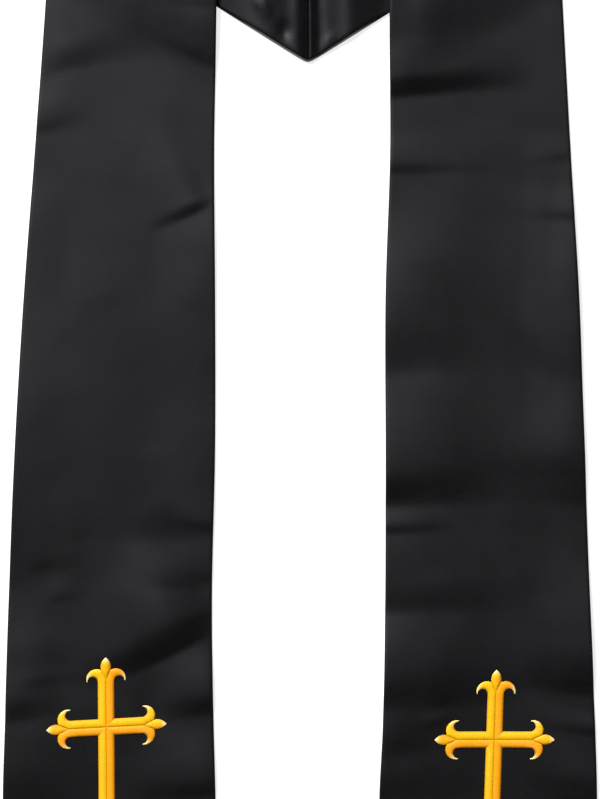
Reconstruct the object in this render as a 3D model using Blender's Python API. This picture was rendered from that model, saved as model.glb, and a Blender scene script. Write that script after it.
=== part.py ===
"""A clerical stole of black satin laid flat: two lined halves folded at the shoulders, each with a cross.

Lengths are in millimetres until add_object scales each finished mesh to metres. X runs to the right of the
stole as it is looked at from above, +Y towards the shoulders and +Z up from the table. "Out" is the distance
from the centre back seam towards a band's outer edge, and "across" runs from 0 at a panel's inner, neck edge
to 1 at its outer edge.
"""

import math
from typing import NamedTuple

import bmesh
import bpy
from mathutils import Matrix, Vector

METRE = 0.001

# Cloth
OUTER_THICKNESS = 1.1
LINING_THICKNESS = 1.0
SEAM_GAP = 0.3

# Back of the neck, two strips that meet in a mitred point at the centre back seam
SEAM_X = 5.25
BACK_POINT_Y = 224.7
BACK_WIDTH = 114.0
BACK_SLOPE = math.radians(32.2)

# Shoulder fold, and the slope where the front comes down off the back
FOLD_RADIUS = 2.0
FOLD_EASE = 26.0
EDGE_OVERRUN = 9.0
EDGE_SLOPE = 46.0
HEM_Y = -403.0

# Soft creases of the front bands: where each is highest, as a share of its line, and its width at both ends
CREASE_PEAK = 0.3
CREASE_WIDENING = (0.75, 1.35)
SLOPE_STEP = 0.5

# Grid of each panel, with closer rows where a crease falls
BACK_ROWS = 6
FOLD_ROWS = 6
FRONT_ROWS = 48
CLOSER = 2
STRIPS_ACROSS = 10

# Embroidered cross, whose arms end in a pointed leaf between two curled horns
ARM_WIDTH = 11.6
TOP_ARM = 49.0
SIDE_ARM = 42.0
FOOT_ARM = 104.0
FORK_BELOW_TIP = 15.5
ROOT_LENGTH = 4.5
ARM_ROW = 11.0
ROOT_STEPS = 2
HORN_STEPS = 7
LEAF_WIDTH = 7.3
# Share of the way from fork to tip, and share of the leaf's width there
LEAF_SECTIONS = ((0.58, 1.0), (0.77, 0.82), (0.91, 0.42))
CREST_HEIGHT = 1.3
GROOVE_HEIGHT = 0.7
RIM_HEIGHT = 0.45
WELD_DISTANCE = 0.01


class Station(NamedTuple):
    """The edges of one band at one level."""

    y: float
    inner_out: float
    outer_out: float


class Crease(NamedTuple):
    """A low swell of the cloth that falls steeply to a foot line and gently the other way, to the shoulders.

    The foot line runs between two points and bows towards the shoulders by a distance. The swell is
    highest near the start of the line, and gets wider and fades out towards the end.
    """

    start: tuple
    end: tuple
    bow: float
    height: float
    fall: float
    swell: float


class Arc(NamedTuple):
    """Part of a circle beside an arm, with its centre from the arm's axis and tip, and its end angles."""

    aside: float
    below_tip: float
    radius: float
    first: float
    last: float


HORN_BACK = Arc(aside=6.6, below_tip=15.0, radius=7.1, first=118.0, last=-14.0)
HORN_HOLLOW = Arc(aside=9.4, below_tip=17.0, radius=3.6, first=180.0, last=3.0)


class CrossPlace(NamedTuple):
    """Where the middle of a cross lies, and how far its bar and its stem are turned, in degrees."""

    x: float
    y: float
    bar_turn: float
    stem_turn: float


class Half(NamedTuple):
    """One half of the stole, from the centre back seam to its hem."""

    name: str
    side: int
    stations: tuple
    creases: tuple
    cross: CrossPlace


LEFT = Half(
    name="left",
    side=-1,
    stations=(
        Station(y=339.0, inner_out=63.7, outer_out=178.5),
        Station(y=251.5, inner_out=64.5, outer_out=184.4),
        Station(y=164.0, inner_out=66.0, outer_out=190.9),
        Station(y=59.0, inner_out=65.3, outer_out=198.7),
        Station(y=-46.0, inner_out=65.4, outer_out=204.7),
        Station(y=-151.0, inner_out=67.6, outer_out=209.2),
        Station(y=-238.5, inner_out=66.4, outer_out=211.7),
        Station(y=-289.6, inner_out=65.1, outer_out=213.3),
        Station(y=HEM_Y, inner_out=64.6, outer_out=215.3),
    ),
    creases=(
        Crease(start=(-40.0, 322.0), end=(-170.0, 296.0), bow=2.0, height=1.6, fall=16.0, swell=50.0),
        Crease(start=(-36.0, 214.0), end=(-180.0, 236.0), bow=4.0, height=3.0, fall=60.0, swell=60.0),
        Crease(start=(-58.0, 127.0), end=(-112.0, 102.0), bow=0.0, height=1.8, fall=9.0, swell=86.0),
        Crease(start=(-240.0, -150.0), end=(-72.0, -134.0), bow=0.0, height=4.8, fall=116.0, swell=130.0),
        Crease(start=(-40.0, -110.0), end=(-196.0, -114.0), bow=0.0, height=2.0, fall=36.0, swell=90.0),
        Crease(start=(-54.0, -170.0), end=(-162.0, -220.0), bow=-4.0, height=6.0, fall=22.0, swell=120.0),
        Crease(start=(-46.0, -228.0), end=(-100.0, -238.0), bow=0.0, height=3.0, fall=18.0, swell=40.0),
        Crease(start=(-38.0, -288.0), end=(-136.0, -301.0), bow=2.0, height=2.6, fall=18.0, swell=44.0),
        Crease(start=(-240.0, -302.0), end=(-96.0, -294.0), bow=0.0, height=2.6, fall=38.0, swell=100.0),
        Crease(start=(-40.0, -368.0), end=(-190.0, -352.0), bow=2.0, height=2.2, fall=24.0, swell=50.0),
    ),
    cross=CrossPlace(x=-135.8, y=-239.9, bar_turn=3.0, stem_turn=0.4),
)

RIGHT = Half(
    name="right",
    side=1,
    stations=(
        Station(y=339.0, inner_out=57.4, outer_out=174.3),
        Station(y=251.5, inner_out=57.3, outer_out=178.8),
        Station(y=164.0, inner_out=57.9, outer_out=183.5),
        Station(y=59.0, inner_out=54.6, outer_out=189.4),
        Station(y=-46.0, inner_out=54.7, outer_out=193.3),
        Station(y=-151.0, inner_out=54.4, outer_out=197.0),
        Station(y=-238.5, inner_out=52.7, outer_out=200.6),
        Station(y=-289.6, inner_out=50.3, outer_out=202.0),
        Station(y=HEM_Y, inner_out=49.0, outer_out=204.8),
    ),
    creases=(
        Crease(start=(200.0, 302.0), end=(80.0, 290.0), bow=2.0, height=1.6, fall=18.0, swell=50.0),
        Crease(start=(6.0, 238.0), end=(190.0, 244.0), bow=0.0, height=3.8, fall=60.0, swell=50.0),
        Crease(start=(38.0, 198.0), end=(172.0, 206.0), bow=2.0, height=5.4, fall=17.0, swell=90.0),
        Crease(start=(155.0, -60.0), end=(150.0, 300.0), bow=0.0, height=1.3, fall=36.0, swell=40.0),
        Crease(start=(220.0, 0.0), end=(116.0, 6.0), bow=0.0, height=1.8, fall=72.0, swell=60.0),
        Crease(start=(34.0, 3.0), end=(156.0, 10.0), bow=0.0, height=3.8, fall=48.0, swell=90.0),
        Crease(start=(24.0, -89.0), end=(170.0, -84.0), bow=0.0, height=5.4, fall=33.0, swell=100.0),
        Crease(start=(256.0, -88.0), end=(104.0, -86.0), bow=0.0, height=2.6, fall=34.0, swell=60.0),
        Crease(start=(6.0, -162.0), end=(200.0, -160.0), bow=0.0, height=2.8, fall=28.0, swell=70.0),
        Crease(start=(8.0, -232.0), end=(180.0, -222.0), bow=0.0, height=4.2, fall=36.0, swell=60.0),
        Crease(start=(262.0, -225.0), end=(120.0, -214.0), bow=0.0, height=5.0, fall=40.0, swell=60.0),
        Crease(start=(20.0, -266.0), end=(116.0, -262.0), bow=0.0, height=2.4, fall=44.0, swell=80.0),
        Crease(start=(244.0, -294.0), end=(120.0, -287.0), bow=0.0, height=2.0, fall=22.0, swell=70.0),
        Crease(start=(8.0, -298.0), end=(160.0, -290.0), bow=0.0, height=2.0, fall=30.0, swell=90.0),
        Crease(start=(250.0, -360.0), end=(110.0, -350.0), bow=-2.0, height=2.1, fall=22.0, swell=50.0),
    ),
    cross=CrossPlace(x=135.7, y=-248.8, bar_turn=0.0, stem_turn=-1.85),
)

# Levels of the surface midway between the two cloths
OUTER_DEPTH = SEAM_GAP / 2 + OUTER_THICKNESS
LINING_DEPTH = SEAM_GAP / 2 + LINING_THICKNESS
BACK_LEVEL = OUTER_DEPTH
ON_TABLE_LEVEL = LINING_DEPTH
ON_BACK_LEVEL = BACK_LEVEL + LINING_DEPTH + SEAM_GAP + LINING_DEPTH


def mix(a, b, share):
    return a + (b - a) * share


def ease(share):
    """0 to 1 with level ends."""
    share = min(max(share, 0.0), 1.0)
    return share * share * (3.0 - 2.0 * share)


def steep_ease(share):
    """0 to 1 with level ends, steepest in the first third."""
    share = min(max(share, 0.0), 1.0)
    return share * share * (6.0 - 8.0 * share + 3.0 * share * share)


def band_edge(half, y, edge):
    """How far out a band's edge lies at level y, on a smooth curve through its stations."""
    stations = half.stations
    last = len(stations) - 1
    at = next((i for i in range(last) if y >= stations[i + 1].y), last - 1)
    before, upper, lower, after = (stations[min(max(at + k, 0), last)] for k in (-1, 0, 1, 2))
    drop = upper.y - lower.y
    share = min(max((upper.y - y) / drop, 0.0), 1.0)
    start, end = getattr(upper, edge), getattr(lower, edge)
    start_rise = (end - getattr(before, edge)) / (before.y - lower.y) * drop
    end_rise = (getattr(after, edge) - start) / (upper.y - after.y) * drop
    square, cube = share**2, share**3
    return (
        (2 * cube - 3 * square + 1) * start
        + (cube - 2 * square + share) * start_rise
        + (3 * square - 2 * cube) * end
        + (cube - square) * end_rise
    )


def back_edge_y(out, across):
    """The level of the back strip's upper (0) or lower (1) edge, at a distance out from the seam."""
    rise = BACK_WIDTH / math.cos(BACK_SLOPE) * (1.0 - across)
    return BACK_POINT_Y + rise + out * math.tan(BACK_SLOPE)


def fold_ends(half):
    """The shoulder fold's inner and outer ends, as (out, y)."""
    top = half.stations[0]
    inner = Vector((top.inner_out, back_edge_y(top.inner_out, 0.0)))
    outer = Vector((top.outer_out, back_edge_y(top.outer_out, 1.0)))
    return inner, outer


def below_back(out, y):
    """How far a point lies past the back strip's lower edge, square to it."""
    return (back_edge_y(out, 1.0) - y) * math.cos(BACK_SLOPE)


def from_fold(half, out, y):
    """How far a point lies from the line of the shoulder fold."""
    inner, outer = fold_ends(half)
    offset = Vector((out, y)) - inner
    return abs(offset.cross((outer - inner).normalized()))


def crease_rise(crease, x, y):
    """The height that one crease adds at a point."""
    line = Vector(crease.end) - Vector(crease.start)
    offset = Vector((x, y)) - Vector(crease.start)
    share = min(max(offset.dot(line) / line.length_squared, 0.0), 1.0)
    towards_shoulder = line.orthogonal() if line.x > 0.0 else -line.orthogonal()
    above = offset.dot(towards_shoulder.normalized()) - crease.bow * 4.0 * share * (1.0 - share)
    above /= mix(*CREASE_WIDENING, share)
    if above < crease.fall:
        profile = steep_ease(above / crease.fall)
    else:
        profile = 1.0 - ease((above - crease.fall) / crease.swell)
    fade = 1.0 - ease((share - CREASE_PEAK) / (1.0 - CREASE_PEAK))
    return crease.height * profile * ease(share / CREASE_PEAK) * fade


def front_level(half, out, y):
    """The height of the surface between the two cloths of a front band."""
    over_back = 1.0 - ease((below_back(out, y) - EDGE_OVERRUN) / EDGE_SLOPE)
    fold_rise = BACK_LEVEL + 2.0 * FOLD_RADIUS - ON_BACK_LEVEL
    level = mix(ON_TABLE_LEVEL, ON_BACK_LEVEL, over_back)
    level += fold_rise * (1.0 - ease(from_fold(half, out, y) / FOLD_EASE))
    x = SEAM_X + half.side * out
    return level + sum(crease_rise(crease, x, y) for crease in half.creases)


def front_facing(half, out, y):
    """The direction square to a front band, from the slope of its level."""
    slope_out, slope_y = (
        (front_level(half, out + step_out, y + step_y) - front_level(half, out - step_out, y - step_y))
        / (2.0 * SLOPE_STEP)
        for step_out, step_y in ((SLOPE_STEP, 0.0), (0.0, SLOPE_STEP))
    )
    return Vector((-slope_out, -slope_y, 1.0)).normalized()


def back_point(half, share, across):
    """A point of the back strip and its facing, from the seam (0) to the shoulder fold (1)."""
    inner, outer = fold_ends(half)
    upper_out = mix(SEAM_GAP / 2, inner.x, share)
    lower_out = mix(SEAM_GAP / 2, outer.x, share)
    out = mix(upper_out, lower_out, across)
    y = mix(back_edge_y(upper_out, 0.0), back_edge_y(lower_out, 1.0), across)
    return Vector((out, y, BACK_LEVEL)), Vector((0.0, 0.0, -1.0))


def fold_point(half, share, across):
    """A point of the rounded shoulder fold and its facing, from the back (0) over to the front (1)."""
    inner, outer = fold_ends(half)
    along = (outer - inner).normalized()
    away = Vector((-along.y, along.x, 0.0))
    turn = math.pi * share
    foot = mix(inner, outer, across)
    facing = away * math.sin(turn) - Vector((0.0, 0.0, math.cos(turn)))
    return Vector((foot.x, foot.y, BACK_LEVEL + FOLD_RADIUS)) + facing * FOLD_RADIUS, facing


def front_point(half, share, across):
    """A point of the front band and its facing, from the shoulder fold (0) to the hem (1)."""
    inner, outer = fold_ends(half)
    inner_y = mix(inner.y, HEM_Y, share)
    outer_y = mix(outer.y, HEM_Y, share)
    out = mix(band_edge(half, inner_y, "inner_out"), band_edge(half, outer_y, "outer_out"), across)
    y = mix(inner_y, outer_y, across)
    return Vector((out, y, front_level(half, out, y))), front_facing(half, out, y)


def is_falling(half, y):
    """Whether a crease of a front band falls at level y."""
    for crease in half.creases:
        low, high = sorted((crease.start[1], crease.end[1]))
        if low < y < high + crease.fall:
            return True
    return False


def panel_rows(half):
    """The stretch and the share of it for each row of the grid, from the seam to the hem."""
    rows = [(back_point, row / BACK_ROWS) for row in range(BACK_ROWS)]
    rows += [(fold_point, row / FOLD_ROWS) for row in range(FOLD_ROWS)]
    inner, outer = fold_ends(half)
    for row in range(FRONT_ROWS):
        middle_y = mix((inner.y + outer.y) / 2, HEM_Y, (row + 0.5) / FRONT_ROWS)
        parts = CLOSER if is_falling(half, middle_y) else 1
        rows += [(front_point, (row + part / parts) / FRONT_ROWS) for part in range(parts)]
    return rows + [(front_point, 1.0)]


def plain_finish(name, colour, roughness):
    finish = bpy.data.materials.new(name)
    finish.use_nodes = True
    shader = finish.node_tree.nodes["Principled BSDF"]
    shader.inputs["Base Color"].default_value = (*colour, 1.0)
    shader.inputs["Roughness"].default_value = roughness
    shader.inputs["Metallic"].default_value = 0.0
    return finish


def add_object(name, bm, finish):
    """Scales a finished shape to metres and makes it an object."""
    bmesh.ops.scale(bm, vec=(METRE, METRE, METRE), verts=bm.verts)
    mesh = bpy.data.meshes.new(name)
    bm.to_mesh(mesh)
    bm.free()
    mesh.materials.append(finish)
    mesh.shade_smooth()
    made = bpy.data.objects.new(name, mesh)
    bpy.context.collection.objects.link(made)
    return made


def cloth_wall(name, half, start, thickness, growth, finish):
    """One cloth of a half: a wall that starts beside the middle surface and grows away from it."""
    rows = panel_rows(half)
    last = len(rows) - 1
    bm = bmesh.new()
    bmesh.ops.create_grid(bm, x_segments=STRIPS_ACROSS, y_segments=last, size=1.0)
    for vertex in bm.verts:
        across = (vertex.co.x + 1.0) / 2.0
        stretch, share = rows[round((vertex.co.y + 1.0) / 2.0 * last)]
        point, facing = stretch(half, share, across)
        place = point + facing * start
        vertex.co = (SEAM_X + half.side * place.x, place.y, place.z)
    if half.side > 0:
        bmesh.ops.reverse_faces(bm, faces=bm.faces)
    panel = add_object(name, bm, finish)
    wall = panel.modifiers.new("wall", "SOLIDIFY")
    wall.thickness = thickness * METRE
    wall.offset = growth
    return panel


def on_arc(arc, length, share):
    """A point of a horn's edge, on an arm of the given length along +Y."""
    angle = math.radians(mix(arc.first, arc.last, share))
    centre = Vector((arc.aside, length - arc.below_tip))
    return centre + Vector((math.cos(angle), math.sin(angle))) * arc.radius


def straight_rows(length):
    """The number of rows between the mitre and the fork of an arm."""
    return round((length - FORK_BELOW_TIP) / ARM_ROW)


def column_edges(length):
    """Half an arm along +Y, as pairs of inner and outer edge points from the mitre to the horn's point."""
    half_arm = ARM_WIDTH / 2
    fork = Vector((0.0, length - FORK_BELOW_TIP))
    armpit = on_arc(HORN_HOLLOW, length, 0.0)
    crown = on_arc(HORN_BACK, length, 0.0)
    shoulder = armpit - Vector((0.0, ROOT_LENGTH))
    centre, corner = Vector((0.0, 0.0)), Vector((half_arm, half_arm))
    straight = straight_rows(length)
    shares = [row / straight for row in range(straight)]
    pairs = [(mix(centre, fork, share), mix(corner, shoulder, share)) for share in shares]
    for step in range(ROOT_STEPS + 1):
        share = step / ROOT_STEPS
        pairs.append((mix(fork, crown, share), mix(shoulder, armpit, share)))
    for step in range(1, HORN_STEPS + 1):
        share = step / HORN_STEPS
        pairs.append((on_arc(HORN_BACK, length, share), on_arc(HORN_HOLLOW, length, share)))
    return pairs


def column_rows(length):
    """Half an arm along +Y, as rows of inner edge, crest and outer edge."""
    rows = []
    for step, (inner, outer) in enumerate(column_edges(length)):
        along_horn = max(step - straight_rows(length) - ROOT_STEPS, 0) / HORN_STEPS
        inner_height = RIM_HEIGHT if along_horn > 0.0 else GROOVE_HEIGHT
        heights = (inner_height, mix(CREST_HEIGHT, RIM_HEIGHT, along_horn**2), RIM_HEIGHT)
        places = (inner, (inner + outer) / 2, outer)
        rows.append([Vector((*place, height)) for place, height in zip(places, heights)])
    return rows


def leaf_rows(length, roots):
    """The pointed leaf between the horns, as rows of left edge, crest and right edge from fork to tip."""
    fork = roots[0]
    rows = [[fork, fork, fork]]
    rows += [[mirrored(root), Vector((0.0, root.y, CREST_HEIGHT)), root] for root in roots[1:]]
    for along, fullness in LEAF_SECTIONS:
        y = length - FORK_BELOW_TIP * (1.0 - along)
        edge = Vector((LEAF_WIDTH / 2 * fullness, y, RIM_HEIGHT))
        rows.append([mirrored(edge), Vector((0.0, y, CREST_HEIGHT)), edge])
    rows.append([Vector((0.0, length, RIM_HEIGHT))] * 3)
    return rows


def mirrored(point):
    return Vector((-point.x, point.y, point.z))


def add_strip(bm, rows, turn):
    """Faces between neighbouring rows of points, turned about the middle of the cross."""
    made = [[bm.verts.new(turn @ point) for point in row] for row in rows]
    for row, following in zip(made, made[1:]):
        for a, b, c, d in zip(row, row[1:], following[1:], following):
            bm.faces.new((a, b, c, d))


def on_band(half, point):
    """A point of the cross, moved out from the face of the band below it."""
    place = half.cross
    bar, stem = math.radians(place.bar_turn), math.radians(place.stem_turn)
    x = place.x + point.x * math.cos(bar) - point.y * math.sin(stem)
    y = place.y + point.x * math.sin(bar) + point.y * math.cos(stem)
    out = half.side * (x - SEAM_X)
    height = OUTER_DEPTH + SEAM_GAP + point.z
    facing = front_facing(half, out, y) * height
    return Vector((x + half.side * facing.x, y + facing.y, front_level(half, out, y) + facing.z))


def cross(name, half, finish):
    """The raised cross: four arms that meet in mitres, laid over the face of a band."""
    bm = bmesh.new()
    for quarter_turns, length in enumerate((TOP_ARM, SIDE_ARM, FOOT_ARM, SIDE_ARM)):
        turn = Matrix.Rotation(math.radians(90.0 * quarter_turns), 3, "Z")
        column = column_rows(length)
        fork = straight_rows(length)
        roots = [row[0] for row in column[fork : fork + 1 + ROOT_STEPS]]
        add_strip(bm, column, turn)
        add_strip(bm, [[mirrored(point) for point in row] for row in column], turn)
        add_strip(bm, leaf_rows(length, roots), turn)
    bmesh.ops.remove_doubles(bm, verts=bm.verts, dist=WELD_DISTANCE)
    bmesh.ops.recalc_face_normals(bm, faces=bm.faces)
    underside = list(bm.verts)
    bmesh.ops.extrude_face_region(bm, geom=bm.faces)
    for vertex in underside:
        vertex.co.z = 0.0
    for vertex in bm.verts:
        vertex.co = on_band(half, vertex.co)
    bmesh.ops.recalc_face_normals(bm, faces=bm.faces)
    return add_object(name, bm, finish)


def build():
    for old in list(bpy.data.objects):
        bpy.data.objects.remove(old)
    outer_satin = plain_finish("satin", (0.019, 0.019, 0.022), 0.48)
    lining_satin = plain_finish("lining_satin", (0.024, 0.024, 0.027), 0.32)
    gold_thread = plain_finish("gold_thread", (1.0, 0.5, 0.035), 0.42)
    for half in (LEFT, RIGHT):
        cloth_wall(f"outer_{half.name}", half, SEAM_GAP / 2, OUTER_THICKNESS, 1.0, outer_satin)
        cloth_wall(f"lining_{half.name}", half, -SEAM_GAP / 2, LINING_THICKNESS, -1.0, lining_satin)
        cross(f"cross_{half.name}", half, gold_thread)


build()
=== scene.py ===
"""A black satin clerical stole laid flat, folded at the shoulders, with a gold cross on each band.

Lengths are in millimetres until add_piece scales each finished mesh to metres. X runs to the right of the
stole as it is looked at from above, +Y towards the shoulders and +Z up from the table. "Out" is the distance
from the centre back seam towards a band's outer edge, and "across" runs from 0 at a panel's inner, neck edge
to 1 at its outer edge.
"""

import math
from typing import NamedTuple

import bmesh
import bpy
import numpy as np
from mathutils import Matrix, Vector


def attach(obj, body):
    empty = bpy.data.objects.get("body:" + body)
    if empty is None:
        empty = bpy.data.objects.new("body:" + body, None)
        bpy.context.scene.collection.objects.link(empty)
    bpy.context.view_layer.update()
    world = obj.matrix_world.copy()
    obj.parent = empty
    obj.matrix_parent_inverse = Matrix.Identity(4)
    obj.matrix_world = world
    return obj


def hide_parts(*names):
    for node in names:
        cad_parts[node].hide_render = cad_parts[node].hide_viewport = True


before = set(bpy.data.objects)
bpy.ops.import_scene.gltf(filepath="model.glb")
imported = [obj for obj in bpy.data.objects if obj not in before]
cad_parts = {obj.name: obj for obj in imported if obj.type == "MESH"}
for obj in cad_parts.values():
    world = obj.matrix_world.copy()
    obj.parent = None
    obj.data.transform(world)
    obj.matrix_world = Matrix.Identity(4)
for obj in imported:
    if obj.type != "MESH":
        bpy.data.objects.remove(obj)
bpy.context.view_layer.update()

METRE = 0.001

# Cloth, as thin shells whose outer faces lie where the solids have theirs, and the roll at its edges
OUTER_DEPTH = 1.25
LINING_DEPTH = 1.15
SHELL = 0.45
SEAM_START = 0.15
EDGE_ROLL = 1.6

# Back of the neck, shoulder fold and hem
SEAM_X = 5.25
BACK_POINT_Y = 224.7
POINT_BLUNTING = 1.5
BLUNTING_POWER = 8
BACK_WIDTH = 114.0
BACK_SLOPE = math.radians(32.2)
BACK_LEVEL = 1.25
ON_TABLE_LEVEL = 1.15
ON_BACK_LEVEL = 3.85
FOLD_RADIUS = 2.0
FOLD_EASE = 26.0
EDGE_OVERRUN = 9.0
EDGE_SLOPE = 46.0
HEM_Y = -403.0
CREASE_PEAK = 0.3
CREASE_WIDENING = (0.75, 1.35)
SLOPE_STEP = 0.5

# Grid of a panel
CELL_ALONG = 2.6
CELL_ACROSS = 2.6
FOLD_ROWS = 10
CLOSE_STEPS = (0.1, 0.35, 0.8, 1.4, 2.4)


class Station(NamedTuple):
    """The edges of one band at one level."""

    y: float
    inner_out: float
    outer_out: float


class Crease(NamedTuple):
    """A low swell of the cloth that falls steeply to a foot line and gently the other way, to the shoulders.

    It is highest near the start of its foot line, and gets wider and fades out towards the end. One with a
    height below zero is a shallow hollow.
    """

    start: tuple
    end: tuple
    bow: float
    height: float
    fall: float
    swell: float


class Pucker(NamedTuple):
    """A small ridge of the lining at the neck, turned by degrees; one with a height below zero is a dip."""

    x: float
    y: float
    half_width: float
    half_length: float
    turn: float
    height: float


class CrossPlace(NamedTuple):
    """Where the middle of a cross lies, and how far its bar and stem are turned, in degrees."""

    x: float
    y: float
    bar_turn: float
    stem_turn: float


class Half(NamedTuple):
    """One half of the stole, from the centre back seam to its hem, on side -1 (left) or 1 (right)."""

    name: str
    side: int
    stations: tuple
    creases: tuple
    cross: CrossPlace


LEFT = Half(
    name="left",
    side=-1,
    stations=(
        Station(y=339.0, inner_out=63.7, outer_out=178.5),
        Station(y=251.5, inner_out=64.5, outer_out=184.4),
        Station(y=164.0, inner_out=66.0, outer_out=190.9),
        Station(y=59.0, inner_out=65.3, outer_out=198.7),
        Station(y=-46.0, inner_out=65.4, outer_out=204.7),
        Station(y=-151.0, inner_out=67.6, outer_out=209.2),
        Station(y=-238.5, inner_out=66.4, outer_out=211.7),
        Station(y=-289.6, inner_out=65.1, outer_out=213.3),
        Station(y=HEM_Y, inner_out=64.6, outer_out=215.3),
    ),
    creases=(
        Crease(start=(-40.0, 322.0), end=(-170.0, 296.0), bow=2.0, height=1.6, fall=16.0, swell=50.0),
        Crease(start=(-36.0, 214.0), end=(-180.0, 236.0), bow=4.0, height=3.0, fall=60.0, swell=60.0),
        Crease(start=(-58.0, 127.0), end=(-112.0, 102.0), bow=0.0, height=1.8, fall=9.0, swell=86.0),
        Crease(start=(-240.0, -150.0), end=(-72.0, -134.0), bow=0.0, height=4.8, fall=116.0, swell=130.0),
        Crease(start=(-40.0, -110.0), end=(-196.0, -114.0), bow=0.0, height=2.0, fall=36.0, swell=90.0),
        Crease(start=(-54.0, -170.0), end=(-162.0, -220.0), bow=-4.0, height=6.0, fall=22.0, swell=120.0),
        Crease(start=(-46.0, -228.0), end=(-100.0, -238.0), bow=0.0, height=3.0, fall=18.0, swell=40.0),
        Crease(start=(-38.0, -288.0), end=(-136.0, -301.0), bow=2.0, height=2.6, fall=18.0, swell=44.0),
        Crease(start=(-240.0, -302.0), end=(-96.0, -294.0), bow=0.0, height=2.6, fall=38.0, swell=100.0),
        Crease(start=(-40.0, -368.0), end=(-190.0, -352.0), bow=2.0, height=2.2, fall=24.0, swell=50.0),
    ),
    cross=CrossPlace(x=-135.8, y=-239.9, bar_turn=3.0, stem_turn=0.4),
)

RIGHT = Half(
    name="right",
    side=1,
    stations=(
        Station(y=339.0, inner_out=57.4, outer_out=174.3),
        Station(y=251.5, inner_out=57.3, outer_out=178.8),
        Station(y=164.0, inner_out=57.9, outer_out=183.5),
        Station(y=59.0, inner_out=54.6, outer_out=189.4),
        Station(y=-46.0, inner_out=54.7, outer_out=193.3),
        Station(y=-151.0, inner_out=54.4, outer_out=197.0),
        Station(y=-238.5, inner_out=52.7, outer_out=200.6),
        Station(y=-289.6, inner_out=50.3, outer_out=202.0),
        Station(y=HEM_Y, inner_out=49.0, outer_out=204.8),
    ),
    creases=(
        Crease(start=(200.0, 302.0), end=(80.0, 290.0), bow=2.0, height=1.6, fall=18.0, swell=50.0),
        Crease(start=(6.0, 238.0), end=(190.0, 244.0), bow=0.0, height=3.8, fall=60.0, swell=50.0),
        Crease(start=(38.0, 198.0), end=(172.0, 206.0), bow=2.0, height=5.4, fall=17.0, swell=90.0),
        Crease(start=(155.0, -60.0), end=(150.0, 300.0), bow=0.0, height=1.3, fall=36.0, swell=40.0),
        Crease(start=(220.0, 0.0), end=(116.0, 6.0), bow=0.0, height=1.8, fall=72.0, swell=60.0),
        Crease(start=(34.0, 3.0), end=(156.0, 10.0), bow=0.0, height=3.8, fall=48.0, swell=90.0),
        Crease(start=(24.0, -89.0), end=(170.0, -84.0), bow=0.0, height=5.4, fall=33.0, swell=100.0),
        Crease(start=(256.0, -88.0), end=(104.0, -86.0), bow=0.0, height=2.6, fall=34.0, swell=60.0),
        Crease(start=(6.0, -162.0), end=(200.0, -160.0), bow=0.0, height=2.8, fall=28.0, swell=70.0),
        Crease(start=(8.0, -232.0), end=(180.0, -222.0), bow=0.0, height=4.2, fall=36.0, swell=60.0),
        Crease(start=(262.0, -225.0), end=(120.0, -214.0), bow=0.0, height=5.0, fall=40.0, swell=60.0),
        Crease(start=(20.0, -266.0), end=(116.0, -262.0), bow=0.0, height=2.4, fall=44.0, swell=80.0),
        Crease(start=(244.0, -294.0), end=(120.0, -287.0), bow=0.0, height=2.0, fall=22.0, swell=70.0),
        Crease(start=(8.0, -298.0), end=(160.0, -290.0), bow=0.0, height=2.0, fall=30.0, swell=90.0),
        Crease(start=(250.0, -360.0), end=(110.0, -350.0), bow=-2.0, height=2.1, fall=22.0, swell=50.0),
    ),
    cross=CrossPlace(x=135.7, y=-248.8, bar_turn=0.0, stem_turn=-1.85),
)

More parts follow.
